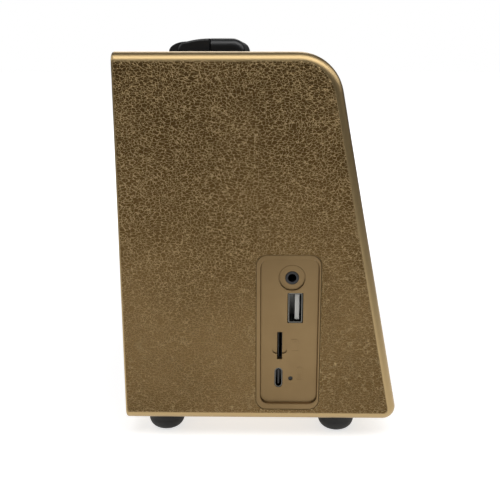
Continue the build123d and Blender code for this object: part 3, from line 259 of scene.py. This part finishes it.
def worked_metal(name, tone, roughness, grain, stretch=(1, 1, 1), depth=0.01 * MM):
    """Bare or plated metal, with tool marks drawn out along one way."""
    m = Nodes(name)
    lines = m.add("ShaderNodeMapping", {"vector_type": "POINT"}, Vector=m.place(), Scale=stretch)
    marks = m.noise(lines.outputs[0], grain, 4.0)
    m.bump(marks.outputs[0], depth)
    tint = mixed(m, marks.outputs[0], colour(*[c * 0.82 for c in tone]), colour(*tone))
    gloss = m.between(marks.outputs[0], 0.3, 0.7, roughness - 0.07, roughness + 0.07)
    return m.finish(Base_Color=tint, Roughness=gloss, Metallic=1.0)


def turned_metal(name, tone, centre, roughness=0.32):
    """Metal turned on a lathe: fine rings about an axis along Y."""
    m = Nodes(name)
    moved = m.add("ShaderNodeMapping", {"vector_type": "POINT"}, Vector=m.place())
    m.put(moved, "Location", (-centre.x, 0, -centre.z))
    flat = m.add("ShaderNodeMapping", {"vector_type": "POINT"}, Vector=moved.outputs[0], Scale=(1, 0, 1))
    rings = m.add("ShaderNodeTexWave", {"wave_type": "RINGS", "rings_direction": "SPHERICAL"}, Scale=260)
    m.put(rings, "Vector", flat.outputs[0])
    m.put(rings, "Distortion", 0.4)
    m.bump(rings.outputs["Fac"], 0.03 * MM)
    tint = mixed(m, rings.outputs["Fac"], colour(*[c * 0.75 for c in tone]), colour(*tone))
    return m.finish(Base_Color=tint, Roughness=roughness, Metallic=1.0)


def pressed_paper():
    """A loudspeaker cone's felted paper."""
    m = Nodes("pressed_paper")
    place = m.place()
    fibres = m.noise(place, 900, 6.0, 0.7)
    m.bump(fibres.outputs[0], 0.08 * MM)
    tint = mixed(m, fibres.outputs[0], colour(0.02, 0.02, 0.022), colour(0.05, 0.05, 0.052))
    return m.finish(Base_Color=tint, Roughness=0.8)


def woven_spider():
    """Amber resin-dipped cloth with a crossed weave."""
    m = Nodes("resin_cloth")
    place = m.place()
    warp = m.add("ShaderNodeTexWave", {"bands_direction": "X"}, Vector=place, Scale=420)
    weft = m.add("ShaderNodeTexWave", {"bands_direction": "Z"}, Vector=place, Scale=420)
    weave = m.math("MAXIMUM", warp.outputs["Fac"], weft.outputs["Fac"])
    m.bump(weave, 0.06 * MM)
    tint = mixed(m, weave, colour(0.34, 0.19, 0.06), colour(0.56, 0.36, 0.15))
    return m.finish(Base_Color=tint, Roughness=0.6)


def circuit_board():
    """Green solder mask over a faint pattern of tracks."""
    m = Nodes("solder_mask")
    place = m.place()
    tracks = m.add("ShaderNodeTexBrick", Vector=place, Scale=160)
    m.put(tracks, "Color1", colour(0.01, 0.09, 0.035))
    m.put(tracks, "Color2", colour(0.012, 0.12, 0.045))
    m.put(tracks, "Mortar", colour(0.03, 0.2, 0.08))
    m.bump(m.noise(place, 700, 2.0).outputs[0], 0.02 * MM)
    return m.finish(Base_Color=tracks.outputs["Color"], Roughness=0.3)


def dark_lens():
    """An unlit charge light, near black in its hole."""
    m = Nodes("dark_lens")
    swirl = m.noise(m.place(), 1500, 2.0)
    tint = mixed(m, swirl.outputs[0], colour(0.003, 0.003, 0.003), colour(0.008, 0.0075, 0.007))
    return m.finish(Base_Color=tint, Roughness=0.5)


MATERIALS = {
    "case_gold": grained_gold(),
    "panel_gold": satin_gold(),
    "back_plastic": moulded("eroded_black", (0.016, 0.016, 0.017), 0.5, 1400, 0.12 * MM),
    "handle_black": moulded("satin_black", (0.014, 0.0142, 0.015), 0.36, 2200, 0.03 * MM),
    "grip_black": moulded("soft_touch_black", (0.012, 0.012, 0.013), 0.34, 2600, 0.03 * MM),
    "tray_black": moulded("matte_black", (0.012, 0.012, 0.0125), 0.55, 1700, 0.08 * MM),
    "button_mark": moulded("mark_grey", (0.42, 0.42, 0.42), 0.4, 2400, 0.02 * MM, 0.1),
    "button_black": moulded("button_black", (0.02, 0.02, 0.021), 0.3, 2400, 0.02 * MM),
    "foot_rubber": moulded("foot_rubber", (0.007, 0.007, 0.007), 0.62, 1100, 0.1 * MM),
    "grille_metal": moulded("painted_mesh", (0.05, 0.038, 0.022), 0.38, 1900, 0.03 * MM),
    "screw_steel": worked_metal("black_zinc", (0.16, 0.16, 0.165), 0.34, 900),
    "pin_steel": worked_metal("ground_steel", (0.6, 0.6, 0.61), 0.2, 500, (1, 40, 40)),
    "basket_steel": moulded("stamped_black_steel", (0.02, 0.02, 0.021), 0.4, 900, 0.04 * MM),
    "magnet_ferrite": moulded("ferrite", (0.09, 0.09, 0.093), 0.6, 700, 0.1 * MM),
    "cone_paper": pressed_paper(),
    "surround_rubber": moulded("roll_rubber", (0.011, 0.011, 0.0115), 0.42, 1200, 0.04 * MM),
    "spider_cloth": woven_spider(),
    "foam": moulded("foam", (0.02, 0.02, 0.02), 0.9, 500, 0.3 * MM),
    "connector_metal": worked_metal("nickel_plate", (0.16, 0.155, 0.14), 0.3, 400, (1, 1, 20)),
    "connector_plastic": moulded("connector_black", (0.01, 0.01, 0.011), 0.35, 1500, 0.02 * MM),
    "tongue_plastic": moulded("pale_tongue", (0.5, 0.49, 0.45), 0.4, 1200, 0.02 * MM, 0.1),
    "reader_metal": moulded("dark_reader", (0.012, 0.012, 0.012), 0.5, 900, 0.02 * MM),
    "light_lens": dark_lens(),
    "board_green": circuit_board(),
    "component_black": moulded("component_black", (0.03, 0.03, 0.032), 0.45, 800, 0.05 * MM, 0.5),
    "heat_sink_aluminium": worked_metal("extruded_aluminium", (0.55, 0.55, 0.57), 0.35, 300, (1, 30, 1)),
    "cell_wrap": moulded("cell_sleeve", (0.03, 0.12, 0.3), 0.25, 300, 0.05 * MM, 0.15),
    "lead_red": moulded("red_insulation", (0.35, 0.015, 0.012), 0.35, 900, 0.03 * MM, 0.12),
    "lead_black": moulded("black_insulation", (0.012, 0.012, 0.012), 0.35, 900, 0.03 * MM),
}
MATERIALS["radiator_plate_metal"] = turned_metal("turned_dark_metal", (0.2, 0.2, 0.21), RADIATOR_MIDDLE)

SLOTS = {part["node"]: part["material_slot"] for part in frame["record"]["subparts"]}
for node_name, node in NODES.items():
    node.data.materials.clear()
    node.data.materials.append(MATERIALS[SLOTS[node_name]])


# ---------------------------------------------------------------- piece helpers
def piece(name, bm, slot, place=None, angle=35):
    """Moves a finished mesh to its place and adds it to the scene in its record's finish."""
    bmesh.ops.remove_doubles(bm, verts=bm.verts, dist=0.001 * MM)
    bmesh.ops.recalc_face_normals(bm, faces=bm.faces)
    if place is not None:
        bmesh.ops.transform(bm, matrix=place, verts=bm.verts)
    mesh = bpy.data.meshes.new(name)
    bm.to_mesh(mesh)
    bm.free()
    mesh.shade_smooth()
    mesh.set_sharp_from_angle(angle=radians(angle))
    mesh.materials.append(MATERIALS[slot])
    obj = bpy.data.objects.new(name, mesh)
    bpy.context.scene.collection.objects.link(obj)
    return obj


def axes(origin, right, up):
    """The place whose X and Y run along right and up, with Z out of their plane."""
    right, up = Vector(right).normalized(), Vector(up).normalized()
    turned = Matrix((right, up, right.cross(up))).transposed()
    return Matrix.Translation(origin) @ turned.to_4x4()


def closed_loop(bm, points):
    """A ring of edges through the points."""
    verts = [bm.verts.new(point) for point in points]
    return [bm.edges.new((vert, verts[(i + 1) % len(verts)])) for i, vert in enumerate(verts)]


def rounded_loop(bm, half_wide, half_high, radius, height, steps=10):
    """A ring of edges round a rounded rectangle, at one height."""
    points = []
    for quarter, (right, up) in enumerate(((1, 1), (-1, 1), (-1, -1), (1, -1))):
        for step in range(steps + 1):
            turn = radians(90) * (quarter + step / steps)
            x = right * (half_wide - radius) + radius * cos(turn)
            y = up * (half_high - radius) + radius * sin(turn)
            points.append((x, y, height))
    return closed_loop(bm, points)


def stroke(bm, points, width, closed=False):
    """A flat line of even width through the points, with mitred corners."""
    points = [Vector(point) for point in points]
    count = len(points)
    sides = []
    for i, point in enumerate(points):
        before = points[i - 1] if closed or i else point
        after = points[(i + 1) % count] if closed or i < count - 1 else point
        into = (point - before).normalized()
        away = (after - point).normalized()
        along = (into + away).normalized()
        across = Vector((-along.y, along.x))
        slant = max(along.dot(away if away.length else into), 0.4)
        offset = across * width / 2 / slant
        sides.append([bm.verts.new((*(point + way * offset), 0)) for way in (-1, 1)])
    for i in range(count if closed else count - 1):
        (low, high), (next_low, next_high) = sides[i], sides[(i + 1) % count]
        bm.faces.new((low, next_low, next_high, high))


def raised(bm, height):
    """Gives flat shapes a thickness, upwards."""
    grown = bmesh.ops.extrude_face_region(bm, geom=bm.faces[:], use_keep_orig=True)
    tops = [item for item in grown["geom"] if isinstance(item, bmesh.types.BMVert)]
    bmesh.ops.translate(bm, verts=tops, vec=(0, 0, height))


def arc(radius, start, end, steps=12, middle=(0, 0)):
    """Points along part of a circle, from start to end in degrees."""
    turns = [radians(start + (end - start) * i / steps) for i in range(steps + 1)]
    return [(middle[0] + radius * cos(turn), middle[1] + radius * sin(turn)) for turn in turns]


def hump(middle, half, base, rise, steps=12):
    """A half roll in (radius, height), from its outer foot to its inner one."""
    turns = [pi * i / steps for i in range(steps + 1)]
    return [(middle + half * cos(turn), base + rise * sin(turn)) for turn in turns]


# ---------------------------------------------------------------- front grille
GRILLE_WIDE, GRILLE_HIGH, GRILLE_ROUND = 107.7 * MM, 61.7 * MM, 13.7 * MM
GRILLE_DEPTH, GRILLE_SKIRT = 0.9 * MM, 3.6 * MM
RIM_WIDTH = 4.6 * MM
HOLE_PITCH, HOLE_R, SHEET_DEPTH = 3.5 * MM, 1.18 * MM, 0.7 * MM
FRONT_FOOT = Vector((0, BACK - CASE_DEPTH_BOTTOM, CASE_BOTTOM))
OPENING_MIDDLE = 76.0 * MM
GRILLE_MIDDLE = FRONT_FOOT + OPENING_MIDDLE * UP_SLOPE - GRILLE_DEPTH * OUT_OF_FRONT
GRILLE_PLACE = axes(GRILLE_MIDDLE, (1, 0, 0), UP_SLOPE)


def grille_rim():
    """The grille's folded border: a flat land, a rounded fold and a skirt behind it."""
    bm = bmesh.new()
    fold = 1.1 * MM
    profile = [(RIM_WIDTH, -SHEET_DEPTH), (RIM_WIDTH, -0.2 * MM), (RIM_WIDTH - 0.2 * MM, 0)]
    for i in range(7):
        turn = radians(90) * i / 6
        profile.append((fold * (1 - sin(turn)), -fold * (1 - cos(turn))))
    profile += [(0, -GRILLE_SKIRT), (0.9 * MM, -GRILLE_SKIRT), (0.9 * MM, -SHEET_DEPTH)]
    rings = []
    for inset, height in profile:
        size = GRILLE_WIDE - inset, GRILLE_HIGH - inset, GRILLE_ROUND - inset
        rings.append(rounded_loop(bm, *size, height))
    for ring, following in zip(rings, rings[1:] + rings[:1]):
        bmesh.ops.bridge_loops(bm, edges=ring + following)
    return piece("grille_rim", bm, "grille_metal", GRILLE_PLACE)


def grille_cell():
    """One hole of the perforated sheet in its six-sided share of metal."""
    bm = bmesh.new()
    border = bmesh.ops.create_circle(bm, segments=12, radius=HOLE_PITCH / sqrt(3))["verts"]
    for vert in border[1::2]:
        vert.co *= cos(radians(30))
    outline = bm.edges[:]
    bmesh.ops.create_circle(bm, segments=12, radius=HOLE_R)
    mouth = [edge for edge in bm.edges if edge not in outline]
    bmesh.ops.bridge_loops(bm, edges=outline + mouth)
    deep = bmesh.ops.extrude_edge_only(bm, edges=mouth)["geom"]
    lower = [item for item in deep if isinstance(item, bmesh.types.BMVert)]
    bmesh.ops.translate(bm, verts=lower, vec=(0, 0, -SHEET_DEPTH))
    cell = bpy.data.meshes.new("grille_cell")
    bm.to_mesh(cell)
    bm.free()
    return cell


def grille_sheet():
    """Staggered rows of round holes, running out under the border."""
    cell = grille_cell()
    size = len(cell.vertices)
    bm = bmesh.new()
    row_pitch = HOLE_PITCH * sqrt(3) / 2
    edge_wide, edge_high = GRILLE_WIDE - 2.6 * MM, GRILLE_HIGH - 2.6 * MM
    corner = GRILLE_ROUND - 2.6 * MM
    rows = int(edge_high / row_pitch)
    columns = int(edge_wide / HOLE_PITCH) + 1
    for row in range(-rows, rows + 1):
        line = bmesh.new()
        for column in range(-columns, columns + 1):
            x = (column + (row % 2) / 2) * HOLE_PITCH
            y = row * row_pitch
            over_x = max(abs(x) - edge_wide + corner, 0)
            over_y = max(abs(y) - edge_high + corner, 0)
            if Vector((over_x, over_y)).length > corner - HOLE_PITCH / 2:
                continue
            line.from_mesh(cell)
            line.verts.ensure_lookup_table()
            bmesh.ops.translate(line, verts=line.verts[-size:], vec=(x, y, -0.15 * MM))
        holes = bpy.data.meshes.new("holes")
        line.to_mesh(holes)
        line.free()
        bm.from_mesh(holes)
        bpy.data.meshes.remove(holes)
    bpy.data.meshes.remove(cell)
    return piece("grille_sheet", bm, "grille_metal", GRILLE_PLACE, 30)


for part in (grille_rim(), grille_sheet()):
    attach(part, "cabinet")
    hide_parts("front_grille")


# ---------------------------------------------------------------- rolls and cloths
SECTORS = 24


def flexing_ring(name, place, profile, slot, moving, fixed_r, moving_r, node):
    """A ring turned from a closed (radius, height) profile, in sectors."""
    turn = radians(360 / SECTORS)
    for sector in range(SECTORS):
        bm = bmesh.new()
        start = Matrix.Rotation(turn * sector, 3, "Z")
        edges = closed_loop(bm, [start @ Vector((radius, 0, height)) * MM for radius, height in profile])
        bmesh.ops.spin(bm, geom=edges + bm.verts[:], cent=(0, 0, 0), axis=(0, 0, 1), angle=turn, steps=3)
        part = piece(f"{name}_{sector + 1}", bm, slot, place, 60)
        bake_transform(part)
        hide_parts(node)


def roll_profile(outer_r, middle_r, half, rise, inner_r):
    """A rubber half roll half a millimetre thick, with a flat lip on each side."""
    top = hump(middle_r, half, -0.3, rise)
    under = hump(middle_r, half - 0.45, -0.85, rise)
    return [(outer_r, -0.3), *top, (inner_r, -0.3), (inner_r, -0.8), *reversed(under), (outer_r, -0.9)]


def spider_profile():
    """Five corrugations of thin cloth."""
    steps = 40
    wave = []
    for i in range(steps + 1):
        wave.append((19.9 - 11.4 * i / steps, -16.45 + 0.4 * sin(pi * i / 4)))
    return wave + [(radius, height - 0.35) for radius, height in reversed(wave)]


DRIVER_DEPTH, DRIVER_X, DRIVER_S = 7.5 * MM, 54.0 * MM, 72.0 * MM
for side, x in (("left", -DRIVER_X), ("right", DRIVER_X)):
    middle = FRONT_FOOT + Vector((x, 0, 0)) + DRIVER_S * UP_SLOPE - DRIVER_DEPTH * OUT_OF_FRONT
    place = axes(middle, (1, 0, 0), UP_SLOPE)
    roll = roll_profile(35.3, 30.6, 2.4, 2.9, 26.6)
    cone = f"{side}_cone"
    flexing_ring(f"{side}_roll", place, roll, "surround_rubber", cone, 30.2, 28.2, f"driver_{side}_surround")
    cloth = spider_profile()
    flexing_ring(f"{side}_cloth", place, cloth, "spider_cloth", cone, 19.5, 9.2, f"driver_{side}_spider")


# ---------------------------------------------------------------- passive radiator
RADIATOR_PLACE = axes(Vector((0, BACK - 3.8 * MM, RADIATOR_MIDDLE.z)), (-1, 0, 0), (0, 0, 1))


def radiator_disc():
    """A dished disc with turned steps and a rounded shoulder."""
    bm = bmesh.new()
    face = [(0, -3.0), (7.0, -3.0), (7.3, -3.25), (7.9, -3.25), (8.2, -3.0), (13.0, -3.0), (13.3, -3.25)]
    face += [(13.9, -3.25), (14.2, -3.0), (19.4, -3.0), (20.2, -2.85), (24.4, -1.05), (25.2, -0.8)]
    rim = [(29.3, -0.8), (29.6, -1.0), (29.6, -2.0), (25.2, -2.0)]
    rim += [(20.4, -4.2), (12.0, -4.2), (12.0, -8.0), (0, -8.0)]
    verts = [bm.verts.new((radius * MM, 0, height * MM)) for radius, height in face + rim]
    edges = [bm.edges.new(pair) for pair in zip(verts, verts[1:])]
    turned = {"cent": (0, 0, 0), "axis": (0, 0, 1), "angle": 2 * pi, "steps": 96, "use_merge": True}
    bmesh.ops.spin(bm, geom=edges + verts, **turned)
    return piece("radiator_disc", bm, "radiator_plate_metal", RADIATOR_PLACE, 25)


disc = radiator_disc()
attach(disc, "radiator")
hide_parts("radiator_plate")
back_roll = roll_profile(40.2, 33.6, 3.4, 2.2, 27.4)
back_ring = "back_roll", RADIATOR_PLACE, back_roll, "surround_rubber"
flexing_ring(*back_ring, "radiator", 34.3, 30.1, "radiator_surround")


# ---------------------------------------------------------------- symbols
def power_mark(bm):
    """A broken ring with a short upright in its gap."""
    stroke(bm, arc(1.3, 125, 415, 20), 0.35)
    stroke(bm, [(0, 0.5), (0, 1.7)], 0.35)


def mode_mark(bm):
    """Three level bars."""
    for height in (-0.9, 0, 0.9):
        stroke(bm, [(-1.4, height), (1.4, height)], 0.35)


def pointed(bm, tip, base, half):
    """A filled triangle pointing along X."""
    bm.faces.new([bm.verts.new(point) for point in ((tip, 0, 0), (base, half, 0), (base, -half, 0))])


def previous_mark(bm):
    """A bar and two triangles pointing left."""
    stroke(bm, [(-1.9, -1.2), (-1.9, 1.2)], 0.35)
    pointed(bm, -1.6, 0.1, 1.2)
    pointed(bm, 0.1, 1.8, 1.2)


def next_mark(bm):
    """A bar and two triangles pointing right."""
    stroke(bm, [(1.9, -1.2), (1.9, 1.2)], 0.35)
    pointed(bm, 1.6, -0.1, 1.2)
    pointed(bm, -0.1, -1.8, 1.2)


def play_mark(bm):
    """A triangle and two uprights."""
    pointed(bm, 0.4, -1.8, 1.25)
    for x in (1.0, 1.8):
        stroke(bm, [(x, -1.2), (x, 1.2)], 0.4)


def echo_mark(bm):
    """Three arcs spreading from one point."""
    for radius in (0.7, 1.4, 2.1):
        stroke(bm, arc(radius, -50, 50, 10, (-1.0, 0)), 0.32)


MARKS = {
    "power": power_mark,
    "mode": mode_mark,
    "previous": previous_mark,
    "play": play_mark,
    "next": next_mark,
    "echo": echo_mark,
}
MARK_SCALE = Matrix.Scale(MM, 4)
for button, draw in MARKS.items():
    low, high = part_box(f"{button}_button")
    bm = bmesh.new()
    draw(bm)
    raised(bm, 0.15)
    top = Vector(((low.x + high.x) / 2, (low.y + high.y) / 2, high.z - 0.02 * MM))
    mark = piece(f"{button}_mark", bm, "button_mark", axes(top, (1, 0, 0), (0, 1, 0)) @ MARK_SCALE)
    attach(mark, f"{button}_key")


def panel_place(forward, up):
    """On the socket panel's floor: forward is from the case's back, up from its bottom."""
    floor_x = panel_low.x + 1.5 * MM + 0.02 * MM
    return axes((floor_x, BACK - forward * MM, CASE_BOTTOM + up * MM), (0, -1, 0), (0, 0, 1)) @ MARK_SCALE


def card_mark():
    """The outline of a memory card with one clipped corner and its contacts."""
    bm = bmesh.new()
    outline = [(-1.6, -2.6), (1.6, -2.6), (1.6, 1.6), (0.7, 2.6), (-1.6, 2.6)]
    stroke(bm, outline, 0.28, closed=True)
    for x in (-0.9, -0.3, 0.3):
        stroke(bm, [(x, 1.0), (x, 1.9)], 0.25)
    raised(bm, 0.12)
    return piece("card_mark", bm, "panel_gold", panel_place(74.4, 35.0))


def battery_mark():
    """The outline of a cell with its terminal and two bars of charge."""
    bm = bmesh.new()
    stroke(bm, [(-1.1, -2.9), (1.1, -2.9), (1.1, 2.4), (-1.1, 2.4)], 0.28, closed=True)
    stroke(bm, [(-0.5, 2.75), (0.5, 2.75)], 0.4)
    for y in (-2.0, -1.0):
        stroke(bm, [(-0.6, y), (0.6, y)], 0.5)
    raised(bm, 0.12)
    return piece("battery_mark", bm, "panel_gold", panel_place(76.4, 22.0))


def jack_bead():
    """A fine raised bead round the dished ring of the headphone socket."""
    bm = bmesh.new()
    bead = [(5.6 + 0.2 * cos(turn), 0.2 * sin(turn)) for turn in (pi * i / 6 for i in range(7))]
    edges = closed_loop(bm, [(radius, 0, height) for radius, height in bead])
    turned = {"cent": (0, 0, 0), "axis": (0, 0, 1), "angle": 2 * pi, "steps": 64, "use_merge": True}
    bmesh.ops.spin(bm, geom=edges + bm.verts[:], **turned)
    return piece("jack_bead", bm, "panel_gold", panel_place(72.7, 65.1))


for mark in (card_mark(), battery_mark(), jack_bead()):
    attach(mark, "cabinet")


# ---------------------------------------------------------------- studio
def emitter(name, place, target, width, height, watts):
    """A soft box at place, turned towards target."""
    data = bpy.data.lights.new(name, "AREA")
    data.shape = "RECTANGLE"
    data.size, data.size_y = width, height
    data.energy = watts
    light = bpy.data.objects.new(name, data)
    light.location = place
    light.rotation_euler = (Vector(target) - Vector(place)).to_track_quat("-Z", "Y").to_euler()
    bpy.context.scene.collection.objects.link(light)


def studio():
    """A pale glowing table in an evenly lit room, with one soft box above each side."""
    bm = bmesh.new()
    bmesh.ops.create_grid(bm, x_segments=1, y_segments=1, size=6)
    mesh = bpy.data.meshes.new("table_top")
    bm.to_mesh(mesh)
    bm.free()
    table = bpy.data.objects.new("table_top", mesh)
    bpy.context.scene.collection.objects.link(table)
    m = Nodes("white_table")
    m.finish(Base_Color=colour(0.6, 0.6, 0.6), Roughness=0.9)
    reach = m.add("ShaderNodeVectorMath", {"operation": "LENGTH"})
    m.put(reach, 0, m.place())
    backdrop = m.between(reach.outputs["Value"], 0.14, 0.4, 0.7, 1.0)
    seen = m.add("ShaderNodeLightPath").outputs["Is Camera Ray"]
    beside = m.add("ShaderNodeMapping", {"vector_type": "POINT"}, Vector=m.place(), Scale=(1, 0.55, 1))
    m.put(beside, "Location", (0.28, 0, 0))
    away = m.add("ShaderNodeVectorMath", {"operation": "LENGTH"})
    m.put(away, 0, beside.outputs[0])
    pool = m.between(away.outputs["Value"], 0.04, 0.18, 1.2, 0.0)
    near = m.math("MAXIMUM", pool, m.between(reach.outputs["Value"], 0.15, 0.5, 0.6, 0.0))
    glow = m.math("MAXIMUM", near, m.math("MULTIPLY", backdrop, seen))
    m.finish(Emission_Color=colour(1, 1, 1), Emission_Strength=glow)
    mesh.materials.append(m.material)
    emitter("top_left_box", (-0.5, -0.2, 1.0), (0, -0.05, 0.12), 1.7, 0.55, 9)
    emitter("front_box", (0.1, -1.3, 0.9), (0, 0, 0.08), 0.9, 0.7, 3.5)
    emitter("right_box", (1.2, 0.1, 0.9), (0, 0, 0.08), 0.9, 0.9, 6)
    emitter("rear_box", (-0.1, 1.3, 0.9), (0, 0, 0.08), 0.9, 0.7, 5)


def room():
    """Even light from all round, dim for the case and white as a backdrop."""
    world = bpy.data.worlds.new("room")
    world.use_nodes = True
    tree = world.node_tree
    back = tree.nodes["Background"]
    back.inputs["Color"].default_value = (1, 1, 1, 1)
    paths = tree.nodes.new("ShaderNodeLightPath")
    level = tree.nodes.new("ShaderNodeMapRange")
    level.inputs["To Min"].default_value = 0.05
    level.inputs["To Max"].default_value = 1.0
    tree.links.new(paths.outputs["Is Camera Ray"], level.inputs["Value"])
    tree.links.new(level.outputs[0], back.inputs["Strength"])
    bpy.context.scene.world = world


studio()
room()
bpy.context.scene.view_settings.view_transform = "Standard"
